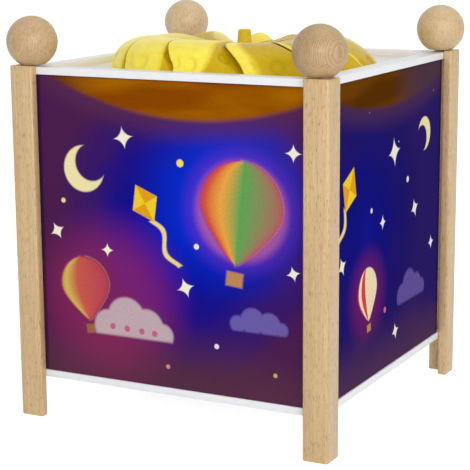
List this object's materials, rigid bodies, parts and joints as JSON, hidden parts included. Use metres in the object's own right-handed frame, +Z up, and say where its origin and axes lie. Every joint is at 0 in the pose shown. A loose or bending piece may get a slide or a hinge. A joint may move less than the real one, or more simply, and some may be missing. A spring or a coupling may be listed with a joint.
{
  "type": "night light lantern",
  "caption": "Square night light lantern: ball-topped wooden corner posts, picture panels, and a vaned fan wheel that turns a picture drum over the bulb.",
  "frame": {"origin": "on the floor, in the middle of the four feet", "axes": "+Z up; -Y towards the front panel, which the picture shows at the left; +X towards the right-hand panel"},
  "size_m": [0.173, 0.173, 0.1946],
  "materials": {
    "beech": "fine sanded, clear matt",
    "white_lacquer": "white satin lacquer",
    "picture_plastic": "translucent, printed",
    "yellow_plastic": "translucent, vacuum formed",
    "film": "translucent, printed",
    "white_plastic": "moulded",
    "brass": "bright",
    "steel": "zinc plated",
    "opal_glass": "opal",
    "black_glass": "plain",
    "rubber": "matt"
  },
  "bodies": {
    "lantern": {"post_front_left": "beech", "post_front_right": "beech", "post_back_right": "beech", "post_back_left": "beech", "ball_front_left": "beech", "ball_front_right": "beech", "ball_back_right": "beech", "ball_back_left": "beech", "ball_screw_front_left": "steel", "ball_screw_front_right": "steel", "ball_screw_back_right": "steel", "ball_screw_back_left": "steel", "top_frame": "white_lacquer", "base_board": "white_lacquer", "cord_grommet": "rubber", "panel_front": "picture_plastic", "panel_right": "picture_plastic", "panel_back": "picture_plastic", "panel_left": "picture_plastic", "holder_pad": "white_plastic", "holder_shell": "white_plastic", "thread_sleeve": "brass", "centre_contact": "brass", "holder_screw_right": "steel", "holder_screw_left": "steel", "arch_socket_left": "brass", "arch_socket_right": "brass"},
    "bulb": {"bulb_glass": "opal_glass", "bulb_cap": "brass", "bulb_tip": "black_glass"},
    "spindle": {"wire_arch": "steel", "needle_ferrule": "brass", "needle": "steel"},
    "drum": {"fan_wheel": "yellow_plastic", "pivot_cup": "brass", "picture_drum": "film", "drum_hoop": "yellow_plastic"}
  },
  "joints": [
    {"name": "spindle_lift", "type": "slide", "parent": "lantern", "child": "spindle", "axis": [0, 0, 1], "range_m": [0, 0.172]},
    {"name": "drum_spin", "type": "hinge", "parent": "spindle", "child": "drum", "pos_m": [0, 0, 0.182], "axis": [0, 0, 1], "continuous": true},
    {"name": "bulb_unscrew", "type": "hinge", "parent": "lantern", "child": "bulb", "pos_m": [0, 0, 0.0475], "axis": [0, 0, 1], "range_deg": [0, 1080]}
  ]
}
